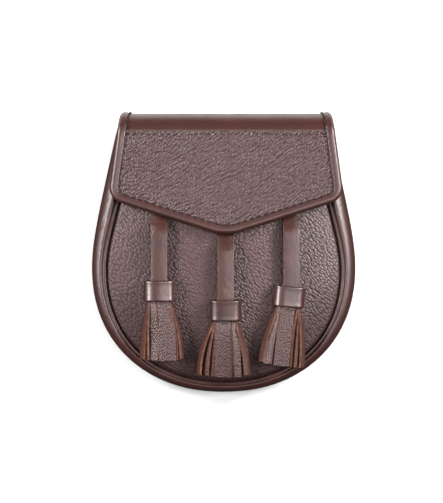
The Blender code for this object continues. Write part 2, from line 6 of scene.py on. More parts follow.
import math
import random
from collections import namedtuple

import bmesh
import bpy
from mathutils import Euler, Matrix, Vector, noise


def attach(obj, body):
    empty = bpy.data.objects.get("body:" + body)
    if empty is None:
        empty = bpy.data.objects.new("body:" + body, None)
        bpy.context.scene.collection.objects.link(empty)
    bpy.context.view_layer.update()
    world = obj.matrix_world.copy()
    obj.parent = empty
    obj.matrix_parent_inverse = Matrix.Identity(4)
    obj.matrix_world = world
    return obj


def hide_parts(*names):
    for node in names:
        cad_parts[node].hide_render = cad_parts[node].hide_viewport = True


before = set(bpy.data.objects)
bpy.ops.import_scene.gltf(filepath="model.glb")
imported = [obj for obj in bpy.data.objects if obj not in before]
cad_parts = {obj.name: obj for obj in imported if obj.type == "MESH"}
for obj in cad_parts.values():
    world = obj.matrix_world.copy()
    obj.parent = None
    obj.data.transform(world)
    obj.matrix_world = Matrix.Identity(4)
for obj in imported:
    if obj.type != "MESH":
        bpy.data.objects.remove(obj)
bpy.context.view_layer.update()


# ---- Gusset ----
# The side of the pouch: one long band of smooth calf leather, wetted and rolled over so that both
# of its edges turn in. They are sewn to the front and the back from inside, which leaves a thin
# ridge beside the front seam. It was bent round by hand: it has creases and is nowhere even.

MM = 0.001
GAP = 0.3  # between pieces that touch
WELD = 1e-4  # points this close are one
SHARP_FROM = math.radians(50)
SWELL = 26.0  # the length of the swells of a surface worked by hand
GUSSET_RINGS = 560
GUSSET_WALL = 1.6
SEAM_RIDGE = 2.1
ROLL_FULL = 10.2
ROLL_FROM_Z = 29.5
ROLL_UNEVEN = 0.22
GUSSET_TOP_Z = 36.3
PINCH_Y = 55.0
FOLD_Y = 82.6
FOLD_Z = 22.3
FOLD_RADIUS = 15.9
BINDING_WALL = 1.1
LOWER_SHARE = 0.60

Outline = namedtuple("Outline", "centre_y half_width half_length power taper knee top_y")
BODY = Outline(-11.1, 95.4, 90.3, power=2.17, taper=0.24, knee=26.8, top_y=94.0)
PANEL = Outline(-13.2, 84.9, 80.8, power=2.16, taper=0.30, knee=21.8, top_y=94.0)

# The band's outer face: share of the roll and inset from the outline, height and share of rise,
# and whether the inner face follows it there.
GUSSET_ROWS = (
    (1.0, 2.1, 25.5, 0.0, True),
    (1.0, 2.1, 30.2, 0.0, True),
    (1.0, 1.9, 31.8, 0.0, False),
    (1.0, 1.3, 32.4, 0.0, False),
    (1.0, 0.6, 32.2, 0.0, True),
    (0.985, 0.0, 31.4, 0.13, False),
    (0.94, 0.0, 31.4, 0.225, True),
    (0.88, 0.0, 31.4, 0.31, False),
    (0.8, 0.0, 31.4, 0.37, True),
    (0.68, 0.0, 31.4, 0.365, False),
    (0.54, 0.0, 31.4, 0.3, True),
    (0.4, 0.0, 31.4, 0.205, False),
    (0.27, 0.0, 31.3, 0.09, True),
    (0.15, 0.0, 30.6, 0.0, False),
    (0.055, 0.0, 28.2, 0.0, True),
    (0.0, 0.0, 24.0, 0.0, True),
    (0.0, 0.0, 17.0, 0.0, True),
    (0.0, 0.2, 9.5, 0.0, True),
    (0.0, 0.9, 4.6, 0.0, False),
    (0.0, 2.3, 1.3, 0.0, True),
    (0.0, 4.8, 0.0, 0.0, True),
    (0.0, 7.0, 1.2, 0.0, False),
    (0.0, 8.4, 4.0, 0.0, True),
    (0.0, 8.7, 7.0, 0.0, True),
    (0.0, 8.7, 12.5, 0.0, True),
)
# Creases of the front roll: middle, direction, length, width and depth.
CREASES = (
    (-86.0, 36.0, 42, 5.0, 0.9, 0.30),
    (-87.2, 29.5, 36, 4.0, 0.8, 0.22),
    (-87.0, 22.0, 44, 5.5, 1.0, 0.34),
    (-88.6, 17.5, 48, 5.0, 0.9, 0.26),
    (-88.2, 12.0, 40, 4.5, 0.9, 0.22),
    (-89.4, 3.5, 42, 5.0, 1.0, 0.26),
    (-90.6, -2.0, 46, 4.0, 0.9, 0.16),
    (87.0, 26.0, 140, 5.0, 1.0, 0.20),
    (90.0, 6.0, 136, 5.0, 1.1, 0.16),
    (-78.0, -60.0, 70, 6.0, 1.4, 0.16),
)


def eased(share):
    share = min(1.0, max(0.0, share))
    return share * share * (3 - 2 * share)


def half_width(outline, y):
    """Half of an outline's width at a height above its widest place."""
    rise = y - outline.centre_y
    return outline.half_width - outline.taper * (math.hypot(rise, outline.knee) - outline.knee)


def outline_point(outline, t):
    """The outline's point at t: -1 is its top left end, 0 the bottom and 1 its top right end."""
    along = abs(t) / LOWER_SHARE
    if along <= 1:
        angle = along * math.pi / 2
        x = outline.half_width * math.sin(angle) ** (2 / outline.power)
        drop = max(0.0, math.cos(angle)) ** (2 / outline.power)
        y = outline.centre_y - outline.half_length * drop
    else:
        share = (abs(t) - LOWER_SHARE) / (1 - LOWER_SHARE)
        y = outline.centre_y + share * (outline.top_y - outline.centre_y)
        x = half_width(outline, y)
    return Vector((math.copysign(x, t), y))


def curve_through(points, steps):
    """A smooth line through the points, with the stretch between each two divided into steps."""
    ends = [points[0] * 2 - points[1], *points, points[-1] * 2 - points[-2]]
    line = []
    for before, start, end, after in zip(ends, ends[1:], ends[2:], ends[3:]):
        for k in range(steps):
            s = k / steps
            bend = (end - before) * s + (before * 2 - start * 5 + end * 4 - after) * s**2
            line.append(start + 0.5 * (bend + (start * 3 - before - end * 3 + after) * s**3))
    return [*line, points[-1]]


def gusset_limits(y):
    """The gusset's lowest and highest point at a height: it narrows to pass inside the fold."""
    reach = FOLD_RADIUS - GAP - BINDING_WALL - GAP
    if y > FOLD_Y:
        half = math.sqrt(reach**2 - (y - FOLD_Y) ** 2)
        return FOLD_Z - half, FOLD_Z + half
    pinch = eased((y - PINCH_Y) / (FOLD_Y - PINCH_Y))
    return pinch * (FOLD_Z - reach), GUSSET_TOP_Z + pinch * (FOLD_Z + reach - GUSSET_TOP_Z)


def direction_at(line, i):
    """The direction of a line of points at one of them."""
    return (line[min(i + 1, len(line) - 1)] - line[max(i - 1, 0)]).normalized()


def inner_wall(profile, wall):
    """The profile moved sideways by a wall's thickness."""
    inner = []
    for i, point in enumerate(profile):
        direction = direction_at(profile, i)
        inner.append(point + Vector((direction.y, -direction.x)) * wall)
    return inner


def hand_worked(point, size, depth):
    """How far a surface worked by hand is off its even shape, with swells of this size."""
    return depth * noise.noise(point / size)


def bell(distance, width):
    """1 at no distance, and fading on both sides over a width."""
    return math.exp(-((distance / width) ** 2))


def gusset_ring(t):
    """The band's section at a place along the outline: its outer face, then its inner one."""
    outside, inside = outline_point(BODY, t), outline_point(PANEL, t)
    band = (inside - outside).length
    inward = (inside - outside) / band
    roll = band - SEAM_RIDGE
    full = min(roll, ROLL_FULL)
    rows = []
    for share, inset, height, rise, _ in GUSSET_ROWS:
        rows.append(Vector((share * roll + inset, height + rise * full)))
    lined = [point for point, row in zip(rows, GUSSET_ROWS) if row[4]]
    ring = []
    for across, height in curve_through(rows, steps=3) + inner_wall(lined, -GUSSET_WALL)[::-1]:
        place = outside + inward * across
        low, high = gusset_limits(place.y)
        point = Vector((place.x, place.y, low + (high - low) * height / GUSSET_TOP_Z))
        if height > ROLL_FROM_Z and across < roll:
            point.z += hand_worked(point, SWELL, ROLL_UNEVEN)
            for x, y, turn, length, width, depth in CREASES:
                away = Vector((point.x - x, point.y - y))
                along = Vector((math.cos(math.radians(turn)), math.sin(math.radians(turn))))
                u, v = away.dot(along) / length, away.cross(along) / width
                point.z -= depth * math.exp(-u * u - v * v)
        ring.append(point)
    return ring


def sleeve(rings, closed=False, faces=None):
    """A closed body through rings of points: a grid, rolled up and welded, with its ends filled.

    faces(i, j) gives the material of the face between rings i and i + 1 and points j and j + 1.
    """
    rings = [*rings, rings[0]] if closed else rings
    columns, rows = len(rings) - 1, len(rings[0])
    mesh = bmesh.new()
    bmesh.ops.create_grid(mesh, x_segments=columns, y_segments=rows, size=0.5)
    if faces:
        for face in mesh.faces:
            middle = face.calc_center_median()
            i, j = int((middle.x + 0.5) * columns), int((middle.y + 0.5) * rows)
            face.material_index = faces(i, j)
    for vert in mesh.verts:
        i, j = round((vert.co.x + 0.5) * columns), round((vert.co.y + 0.5) * rows)
        vert.co = rings[i][j % rows]
    bmesh.ops.remove_doubles(mesh, verts=mesh.verts, dist=WELD)
    ends = bmesh.ops.holes_fill(mesh, edges=[edge for edge in mesh.edges if edge.is_boundary])
    for face in ends["faces"]:
        face.material_index = faces(-1, -1) if faces else 0
    bmesh.ops.recalc_face_normals(mesh, faces=mesh.faces)
    return mesh


def mesh_data(name, mesh, materials=()):
    data = bpy.data.meshes.new(name)
    mesh.to_mesh(data)
    mesh.free()
    for material in materials:
        data.materials.append(material)
    return data


def add_object(name, data):
    added = bpy.data.objects.new(name, data)
    bpy.context.scene.collection.objects.link(added)
    return added


def add_piece(name, mesh, materials, replaced=()):
    """Makes a piece of a bmesh in millimetres, which rides on the pouch in place of solids."""
    bmesh.ops.scale(mesh, vec=(MM, MM, MM), verts=mesh.verts)
    data = mesh_data(name, mesh, materials)
    data.shade_smooth()
    data.set_sharp_from_angle(angle=SHARP_FROM)
    piece = add_object(name, data)
    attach(piece, "root")
    if replaced:
        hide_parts(*replaced)
    return piece


def colour(code):
    """A linear colour from an sRGB hex value."""
    parts = [int(code[i : i + 2], 16) / 255 for i in (0, 2, 4)]
    rgb = [part / 12.92 if part <= 0.04045 else ((part + 0.055) / 1.055) ** 2.4 for part in parts]
    return (*rgb, 1)


def add_node(material, kind, inputs, **properties):
    """Adds a shader node. An input is given a value, or is linked where the value is a socket."""
    tree = material.node_tree
    added = tree.nodes.new("ShaderNode" + kind)
    for key, value in properties.items():
        setattr(added, key, value)
    for key, value in inputs.items():
        if isinstance(value, bpy.types.NodeSocket):
            tree.links.new(value, added.inputs[key])
        else:
            added.inputs[key].default_value = value
    return added


def new_material(name, **shader_inputs):
    """A material with its shader, and the object's coordinates in metres."""
    material = bpy.data.materials.new(name)
    material.use_nodes = True
    shader = material.node_tree.nodes["Principled BSDF"]
    for key, value in shader_inputs.items():
        shader.inputs[key.replace("_", " ")].default_value = value
    place = add_node(material, "TexCoord", {}).outputs["Object"]
    return material, shader, place


def feed(material, shader, **sockets):
    """Links patterns to the shader's inputs."""
    for key, socket in sockets.items():
        material.node_tree.links.new(socket, shader.inputs[key.replace("_", " ")])


def per_mm(size):
    """The scale of a pattern whose features are this many millimetres apart."""
    return 1 / (size * MM)


def clouds(material, place, size, **inputs):
    """Soft noise with swells of this many millimetres."""
    pattern = {"Vector": place, "Scale": per_mm(size), **inputs}
    return add_node(material, "TexNoise", pattern).outputs["Fac"]


def stretch(material, value, start, end, low=0.0, high=1.0, **properties):
    """A value's range from start to end, stretched to go from low to high."""
    ranges = {"Value": value, "From Min": start, "From Max": end, "To Min": low, "To Max": high}
    return add_node(material, "MapRange", ranges, **properties).outputs[0]


def multiply(material, first, second):
    return add_node(material, "Math", {0: first, 1: second}, operation="MULTIPLY").outputs[0]


def blend(material, share, first, second):
    """A colour between two, each of them a hex value or a socket."""
    first, second = (colour(end) if isinstance(end, str) else end for end in (first, second))
    return add_node(material, "Mix", {0: share, 6: first, 7: second}, data_type="RGBA").outputs[2]


def emboss(material, height, rise, strength, below=None, **properties):
    """Raises a pattern by a rise in millimetres, on top of what is embossed below it."""
    inputs = {"Height": height, "Distance": rise * MM, "Strength": strength}
    if below is not None:
        inputs["Normal"] = below
    return add_node(material, "Bump", inputs, **properties).outputs["Normal"]


# Calf leather, drum-dyed and polished: an even red-brown with cloudy depth, a low sheen, pores too
# fine to see one by one and a faint drawn grain. The pores of the real hide are 0.3 mm across, and
# 0.7 mm here lets them show.
CALF_PORE = 0.7
CALF_PORE_RISE = 0.05
CALF_DRAWN = 4.5
CALF_DRAWN_RISE = 0.5
CALF_CLOUD = 22.0
CALF_UNEVEN_GLOSS = 0.07


def calf_leather(name, light, dark, roughness, coat=0.0, grain=1.0):
    material, shader, place = new_material(
        name, Specular_IOR_Level=0.6, Coat_Weight=coat, Coat_Roughness=0.2
    )
    cloud = clouds(material, place, CALF_CLOUD, Detail=3.0)
    tint = blend(material, stretch(material, cloud, start=0.35, end=0.65), dark, light)
    dull, bright = roughness + CALF_UNEVEN_GLOSS, roughness - CALF_UNEVEN_GLOSS
    gloss = stretch(material, cloud, 0.0, 1.0, low=dull, high=bright)
    drawn = clouds(material, place, CALF_DRAWN, Detail=4.0, Distortion=0.6)
    pores = add_node(material, "TexVoronoi", {"Vector": place, "Scale": per_mm(CALF_PORE)})
    grained = emboss(material, drawn, CALF_DRAWN_RISE * grain, strength=0.5)
    skin = emboss(
        material, pores.outputs["Distance"], CALF_PORE_RISE * grain, strength=0.6, below=grained
    )
    feed(material, shader, Base_Color=tint, Roughness=gloss, Normal=skin)
    return material


calf = calf_leather("polished_calf_leather", "3A1F1B", "321A16", roughness=0.42)
gusset_rings = [gusset_ring(2 * k / GUSSET_RINGS - 1) for k in range(GUSSET_RINGS + 1)]
add_piece("gusset_band", sleeve(gusset_rings), [calf], ["gusset"])


# ---- Front panel ----
# The front of the pouch: pebble-grained cow hide, blocked damp over a form so that it domes, then
# sewn to the gusset from inside. Its edge dips into the seam.

PANEL_EDGE_Z = 31.0
PANEL_RISE = 9.0
PANEL_ROUND = 2.8
PANEL_SAG = 0.35
PANEL_SAG_LENGTH = 85.0
PANEL_TOP_Y = 72.0
PANEL_WALL = 1.7
PANEL_COLUMNS = 110
PANEL_ROWS = 150
PANEL_UNEVEN = 0.45
PANEL_UNEVEN_FADE = 12.0  # from the seam, which lies even
SEAM_DIP = 1.25
SEAM_DIP_WIDTH = 1.7


def panel_radius(x, y):
    """0 at the middle of the dome and 1 at the seam."""
    if y >= PANEL.centre_y:
        return abs(x) / half_width(PANEL, y)
    across = abs(x) / PANEL.half_width
    down = (PANEL.centre_y - y) / PANEL.half_length
    return (across**PANEL.power + down**PANEL.power) ** (1 / PANEL.power)


def panel_height(x, y):
    """The front panel's outer face: a dome below, and a vault that sags towards the mouth above."""
    above = max(0.0, y - PANEL.centre_y) / PANEL_SAG_LENGTH
    rise = PANEL_RISE * (1 - PANEL_SAG * above * above)
    return PANEL_EDGE_Z + rise * (1 - min(1.0, panel_radius(x, y)) ** PANEL_ROUND)


def grid_sheet(columns, rows, place, wall):
    """A sheet whose points go where place says, from their shares across and up, and its wall.

    The wall is below the face. Where the rows run down instead of up, the face is mirrored and
    the wall is given as negative.
    """
    mesh = bmesh.new()
    bmesh.ops.create_grid(mesh, x_segments=columns, y_segments=rows, size=0.5)
    for vert in mesh.verts:
        vert.co = place(vert.co.x + 0.5, vert.co.y + 0.5)
    bmesh.ops.remove_doubles(mesh, verts=mesh.verts, dist=WELD)
    bmesh.ops.dissolve_degenerate(mesh, edges=mesh.edges, dist=WELD)
    bmesh.ops.solidify(mesh, geom=mesh.faces[:], thickness=wall)
    bmesh.ops.recalc_face_normals(mesh, faces=mesh.faces)
    return mesh


def panel_point(across, up):
    sewn, whole = PANEL_TOP_Y - PANEL.centre_y, PANEL.top_y - PANEL.centre_y
    top = LOWER_SHARE + (1 - LOWER_SHARE) * sewn / whole
    seam = outline_point(PANEL, top * up)
    edge = max(0.0, seam.x - GAP)
    x = edge * math.sin(math.pi * (across - 0.5))
    y = seam.y + (GAP if up < 0.5 else 0.0)
    inside = (1 - min(1.0, panel_radius(x, y))) * PANEL.half_width
    point = Vector((x, y, panel_height(x, y)))
    point.z += hand_worked(point, SWELL, PANEL_UNEVEN) * min(1.0, inside / PANEL_UNEVEN_FADE)
    point.z -= SEAM_DIP * bell(inside, SEAM_DIP_WIDTH)
    return point


# Cow hide, shrunken and tumbled so that its grain stands up in pebbles about 1.6 mm across and
# twice as long, all drawn the same way; dyed, with painted shade making it darker between the
# pebbles, and finished to a shine on their tops. The front is darker and duller towards its seam:
# the darkening is painted shade where the dome turns from the light.
PEBBLE = 1.8
PEBBLE_LONG = 1.9
PEBBLE_NARROW = 0.95
PEBBLE_RISE = 0.5
PEBBLE_DOME = 0.55  # the square of a dome's radius, as a share of a pebble
CREASE_WIDTH = 0.12
CREASE_FLOOR = 0.7
CREASE_DULL = 0.20
WANDER = 1.2  # how far the rows of pebbles wander
WANDER_SWELL = 9.0
FINE_GRAIN = 0.9
FINE_RISE = 0.06
HIDE_SWELL = 8.0
HIDE_SWELL_RISE = 0.45
HIDE_CLOUD = 28.0
HIDE_CLOUD_SHARE = 0.3
# Painted shade: the front darkens and dulls with distance from this point, for the shade where its
# dome turns away from the light.
SEAM_SHADE_CENTRE = (0.0, 40.0, 35.0)  # a point under the flap, round which the hide stays bright
SEAM_SHADE_FROM = 82.0
SEAM_SHADE_FULL = 120.0
SEAM_SHADE_COLOUR = "2C120F"
SEAM_DULL = 0.2


def pebbled_hide(name, light, dark, roughness, turn, depth, size, seam_shade=0.0):
    material, shader, place = new_material(name, Specular_IOR_Level=0.6)
    rows = {
        "Vector": place,
        "Rotation": (0.0, 0.0, math.radians(turn)),
        "Scale": (PEBBLE_LONG, PEBBLE_NARROW, 1.0),
    }
    turned = add_node(material, "Mapping", rows, vector_type="TEXTURE").outputs[0]
    swells = {"Vector": place, "Scale": per_mm(WANDER_SWELL), "Detail": 2.0}
    wander = add_node(material, "TexNoise", swells).outputs["Color"]
    push = {0: wander, 1: (WANDER * MM, WANDER * MM, WANDER * MM), 2: turned}
    pushed = add_node(material, "VectorMath", push, operation="MULTIPLY_ADD").outputs[0]
    cells = {"Vector": pushed, "Scale": per_mm(PEBBLE * size)}
    middles = add_node(material, "TexVoronoi", cells, voronoi_dimensions="2D")
    edges = add_node(
        material, "TexVoronoi", cells, feature="DISTANCE_TO_EDGE", voronoi_dimensions="2D"
    )
    specks = {"Vector": pushed, "Scale": per_mm(FINE_GRAIN)}
    fine = add_node(material, "TexVoronoi", specks).outputs["Distance"]
    away = middles.outputs["Distance"]
    dome = stretch(material, multiply(material, away, away), 0.0, PEBBLE_DOME, low=1.0, high=0.0)
    cut = stretch(material, edges.outputs["Distance"], 0.0, CREASE_WIDTH, low=CREASE_FLOOR)
    top = multiply(material, dome, cut)
    cloud = clouds(material, place, HIDE_CLOUD, Detail=3.0)
    cloudy = multiply(material, cloud, HIDE_CLOUD_SHARE)
    # Painted shade: the hide takes the dark colour in the creases between the pebbles, where shade
    # falls, and the light one on their tops.
    shaded_tone = blend(material, cloudy, blend(material, top, dark, light), light)
    gloss = stretch(material, top, 0.0, 1.0, low=roughness + CREASE_DULL, high=roughness)
    # Painted shade towards the seam, where the dome turns from the light; the hide is made duller
    # there too.
    if seam_shade:
        ends = {0: place, 1: tuple(part * MM for part in SEAM_SHADE_CENTRE)}
        reach = add_node(material, "VectorMath", ends, operation="DISTANCE").outputs["Value"]
        limits = SEAM_SHADE_FROM * MM, SEAM_SHADE_FULL * MM
        seam_shade_share = stretch(material, reach, *limits, high=seam_shade, interpolation_type="SMOOTHSTEP")
        shaded_tone = blend(material, seam_shade_share, shaded_tone, SEAM_SHADE_COLOUR)
        dulled = {0: seam_shade_share, 1: SEAM_DULL, 2: gloss}
        gloss = add_node(material, "Math", dulled, operation="MULTIPLY_ADD").outputs[0]
    swell = clouds(material, place, HIDE_SWELL, Detail=3.0)
    wave = emboss(material, swell, HIDE_SWELL_RISE, strength=0.5)
    grain = emboss(material, top, PEBBLE_RISE * depth, strength=1.0, below=wave)
    skin = emboss(material, fine, FINE_RISE * depth, strength=0.7, below=grain, invert=True)
    feed(material, shader, Base_Color=shaded_tone, Roughness=gloss, Normal=skin)
    return material


# The second colour is the painted shade in the creases between the pebbles.
front_hide = pebbled_hide(
    "pebbled_hide_front",
    "3F2524",
    "2B1A18",
    roughness=0.40,
    turn=-45,
    depth=0.62,
    size=0.9,
    seam_shade=0.7,
)
front_sheet = grid_sheet(PANEL_COLUMNS, PANEL_ROWS, panel_point, PANEL_WALL)
add_piece("front_of_pouch", front_sheet, [front_hide], ["front_panel"])


# ---- Back panel and loops ----
# The flat back of smooth calf leather, and two plain strips sewn across it by their feet. The
# strap or chain that carries the pouch goes through them.

LOOP_X = 48.0
LOOP_Y = 37.0
LOOP_WIDTH = 18.0
LOOP_THICK = 1.6
LOOP_FOOT_Z = 4.8
LOOP_BEND = ((0.0, 0.0), (9.0, 0.0), (12.2, 0.1), (14.2, 0.9))
LOOP_FOOT = ((15.8, 3.3), (17.6, 4.7), (20.0, 4.8), (25.5, 4.8))


def dress_solid(name, material):
    """Gives a solid that is shown as it is its material."""
    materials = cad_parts[name].data.materials
    materials.clear()
    materials.append(material)


dress_solid("back_panel", calf)


def strap_ring(centre, across, out, width, thick, rounding=0.35):
    """The section of a leather strap: a rectangle with its corners rubbed round."""
    ring = []
    for side_x, side_y in ((1, 1), (-1, 1), (-1, -1), (1, -1)):
        corner = Vector((side_x * (width / 2 - rounding), side_y * (thick / 2 - rounding)))
        first = math.atan2(side_y, side_x) - math.pi / 4
        for k in range(3):
            angle = first + k * math.pi / 4
            spot = corner + Vector((math.cos(angle), math.sin(angle))) * rounding
            ring.append(centre + across * spot.x + out * spot.y)
    return ring


def make_loop(side, name):
    half = [Vector(point) for point in LOOP_BEND + LOOP_FOOT]
    path = [Vector((-point.x, point.y)) for point in half[:0:-1]] + half
    path = curve_through(path, steps=4)
    rings = []
    for i, point in enumerate(path):
        direction = direction_at(path, i)
        out = Vector((0, direction.y, -direction.x))
        centre = Vector((side * LOOP_X, LOOP_Y + point.x, point.y)) - out * (LOOP_THICK / 2)
        rings.append(strap_ring(centre, Vector((1, 0, 0)), out, LOOP_WIDTH, LOOP_THICK))
    add_piece(f"hanging_loop_{name}", sleeve(rings), [calf], [f"belt_loop_{name}"])


for loop_side, loop_name in ((-1, "left"), (1, "right")):
    make_loop(loop_side, loop_name)


# ---- Flap hinge ----
# A strip of the smooth calf, sewn to the back, that folds over the top of the pouch and carries
# the flap. The fold is worked round, so its top catches the light as one band.

FLAP_SHIFT = 1.7
FLAP_LIFT = 5.4
FLAP_CROWN_HALF = 88.0
HINGE_COLUMNS = 60
HINGE_ROWS = 90
HINGE_THICK = 1.5
HINGE_WALL = 0.9
HINGE_UNEVEN = 0.22
HINGE_SWELLS_ACROSS = 9
HINGE_SWELL = 30.0
HINGE_EVEN_END = 20.0
FLAP_THICK = 2.2
LAP_THICK = 1.0
LAP_STEP = 1.0
SEAM_S = -3.7
LAP_LENGTH = 8.0
HINGE_REAR_S = -66.0
BINDING_REAR_S = -50.0
BINDING_WIDTH = 6.4
BINDING_SLOT = 1.6
SHEET_INSET = BINDING_SLOT + GAP
FLAP_TIP_S = 71.9
# The flap's bound edge, right half: across from its middle, along it from the front of the fold,
# and the radius of the corner.
FLAP_SIDE = ((73.0, BINDING_REAR_S, 0.0), (79.0, 0.0, 0.0), (85.2, 44.7, 12.0))
FLAP_TIP = (0.0, FLAP_TIP_S, 36.0)


def flap_inner_z(x, y):
    """The flap's inner face before the fold: it rises towards the tip and falls to the sides."""
    rise = FLAP_LIFT * eased((FOLD_Y - y) / FLAP_TIP_S)
    return FOLD_Z + FOLD_RADIUS + rise * (1 - (x / FLAP_CROWN_HALF) ** 2)


def flap_point(across, along, lift):
    """A point lifted off the flap's inner face: along is positive down the front from the fold."""
    x = FLAP_SHIFT + across
    if along >= 0:
        y = FOLD_Y - along
        return Vector((x, y, flap_inner_z(x, y) + lift))
    turn = -along / FOLD_RADIUS
    radius = FOLD_RADIUS + lift
    if turn <= math.pi:
        return Vector((x, FOLD_Y + radius * math.sin(turn), FOLD_Z + radius * math.cos(turn)))
    return Vector((x, FOLD_Y - (turn - math.pi) * FOLD_RADIUS, FOLD_Z - radius))


def flap_side(along, inset):
    """How far across the flap's straight side lies at a place along it, less an inset."""
    rear, fold, corner = FLAP_SIDE
    low, high = (rear, fold) if along < 0 else (fold, corner)
    slope = (high[0] - low[0]) / (high[1] - low[1])
    return low[0] + slope * (along - low[1]) - inset * math.hypot(1, slope)


def hinge_point(across, down):
    """The hinge's outer face, which steps down under the flap panel's edge."""
    along = HINGE_REAR_S + (SEAM_S + LAP_LENGTH - GAP - HINGE_REAR_S) * down
    lap = eased((along - SEAM_S + LAP_STEP) / LAP_STEP)
    side = flap_side(along, SHEET_INSET)
    spot = Vector((across * HINGE_SWELLS_ACROSS, along / HINGE_SWELL, 0))
    lift = HINGE_THICK - (HINGE_THICK - LAP_THICK) * lap
    lift += hand_worked(spot, 1.0, HINGE_UNEVEN) * eased((along - BINDING_REAR_S) / HINGE_EVEN_END)
    return flap_point((2 * across - 1) * side, along, lift)


hinge_sheet = grid_sheet(HINGE_COLUMNS, HINGE_ROWS, hinge_point, -HINGE_WALL)
add_piece("folded_hinge", hinge_sheet, [calf], ["flap_hinge"])


# ---- Flap panel ----
# The flap is the same pebbled hide as the front, sewn over the edge of the hinge with one row of
# stitches that pulls it down, so its cut edge stands up in small waves.

FLAP_COLUMNS = 150
FLAP_ROWS = 76
FLAP_WALL = 1.05
FLAP_UNEVEN = 0.5
FLAP_SWELL = 24.0
SEAM_EVEN_END = 14.0
EDGE_EVEN_SHARE = 5  # the last fifth of the flap evens out
TOP_STITCH_S = SEAM_S + 1.9
TOP_STITCH_PITCH = 4.7
STITCH_PULL = 0.65
STITCH_PULL_WIDTH = 1.1
EDGE_WAVE = 0.22
EDGE_WAVE_WIDTH = 0.8
EDGE_RAGGED = 0.5
EDGE_RAGGED_SWELL = 5.0
EDGE_RAGGED_WIDTH = 1.2
ARC_STEP = math.radians(4)


def flap_edge(pace):
    """Points along the flap's bound edge, about a pace apart, each with the way into the flap."""
    left = [(-across, along, radius) for across, along, radius in FLAP_SIDE]
    corners = [*left, FLAP_TIP, *FLAP_SIDE[::-1]]
    points = [Vector(corner[:2]) for corner in corners]
    legs = [(b - a).normalized() for a, b in zip(points, points[1:])]
    inward = [Vector((leg.y, -leg.x)) for leg in legs]
    edge = []
    start = points[0]
    for i, leg in enumerate(legs):
        last = i + 1 == len(legs)
        turn = 0.0 if last else leg.angle(legs[i + 1])
        radius = corners[i + 1][2]
        end = points[i + 1] - leg * (radius * math.tan(turn / 2))
        steps = max(1, round((end - start).length / pace))
        edge += [(start.lerp(end, k / steps), inward[i]) for k in range(steps)]
        start = end
        if radius:
            arc_steps = math.ceil(turn / ARC_STEP)
            centre = end + inward[i] * radius
            for k in range(arc_steps):
                normal = inward[i].slerp(inward[i + 1], k / arc_steps)
                edge.append((centre - normal * radius, normal))
            start = centre - inward[i + 1] * radius
    return [*edge, (points[-1], inward[-1])]


def lengths_along(points):
    """The distance along a line of points at each of them."""
    total = [0.0]
    for a, b in zip(points, points[1:]):
        total.append(total[-1] + (b - a).length)
    return total


def find_length(points, total, want):
    """The stretch of a line of points in which a length is reached, and the point there."""
    i = next(j for j in range(1, len(points)) if total[j] >= want)
    share = (want - total[i - 1]) / (total[i] - total[i - 1])
    return i, points[i - 1].lerp(points[i], share)


def spread_evenly(points, steps):
    """The points that divide a line of points into steps of one length."""
    total = lengths_along(points)
    return [find_length(points, total, total[-1] * (k / steps))[1] for k in range(steps + 1)]


flap_rim = [Vector((-flap_side(SEAM_S, SHEET_INSET), SEAM_S))]
for point, inward in flap_edge(pace=1.0):
    if point.y > SEAM_S + 1:
        flap_rim.append(point + inward * SHEET_INSET)
flap_rim.append(Vector((flap_side(SEAM_S, SHEET_INSET), SEAM_S)))
corner = Vector((-FLAP_SIDE[2][0], FLAP_SIDE[2][1]))
corner_at = min(range(len(flap_rim)), key=lambda i: (flap_rim[i] - corner).length)
left_table = spread_evenly(flap_rim[: corner_at + 1], FLAP_ROWS)
lower_table = spread_evenly(flap_rim[corner_at : len(flap_rim) - corner_at], FLAP_COLUMNS)


def flap_spot(across, down):
    """The flap panel's outline stretched over a grid: where its four sides meet there."""
    left = left_table[round(down * FLAP_ROWS)]
    right = Vector((-left.x, left.y))
    lower = lower_table[round(across * FLAP_COLUMNS)]
    upper = left_table[0].lerp(Vector((-left_table[0].x, left_table[0].y)), across)
    ends = lower_table[0].lerp(lower_table[-1], across)
    return upper.lerp(lower, down) + left.lerp(right, across) - upper.lerp(ends, down)


def flap_panel_point(across, down):
    spot = flap_spot(across, down)
    point = flap_point(spot.x, spot.y, FLAP_THICK)
    swell = hand_worked(point, FLAP_SWELL, FLAP_UNEVEN)
    from_seam = spot.y - SEAM_S
    stitch = math.cos(2 * math.pi * spot.x / TOP_STITCH_PITCH)
    pull = STITCH_PULL * bell(spot.y - TOP_STITCH_S, STITCH_PULL_WIDTH)
    point.z += swell * min(1.0, from_seam / SEAM_EVEN_END) * min(1.0, (1 - down) * EDGE_EVEN_SHARE)
    point.z -= pull * (0.55 + 0.45 * stitch)
    ragged = hand_worked(point, EDGE_RAGGED_SWELL, EDGE_RAGGED) * bell(from_seam, EDGE_RAGGED_WIDTH)
    point.y += EDGE_WAVE * stitch * bell(from_seam, EDGE_WAVE_WIDTH) + ragged
    return point


# The second colour is the painted shade in the creases between the pebbles.
flap_hide = pebbled_hide(
    "pebbled_hide_flap", "3D2322", "281715", roughness=0.37, turn=60, depth=1.3, size=0.92
)
flap_sheet = grid_sheet(FLAP_COLUMNS, FLAP_ROWS, flap_panel_point, -FLAP_WALL)
add_piece("flap_front", flap_sheet, [flap_hide], ["flap_panel"])


# ---- Flap binding ----
# A strip of the smooth calf folded over the flap's raw edge and sewn through, all the way round
# and over the two ends of the fold. Each stitch bites into its inner edge.

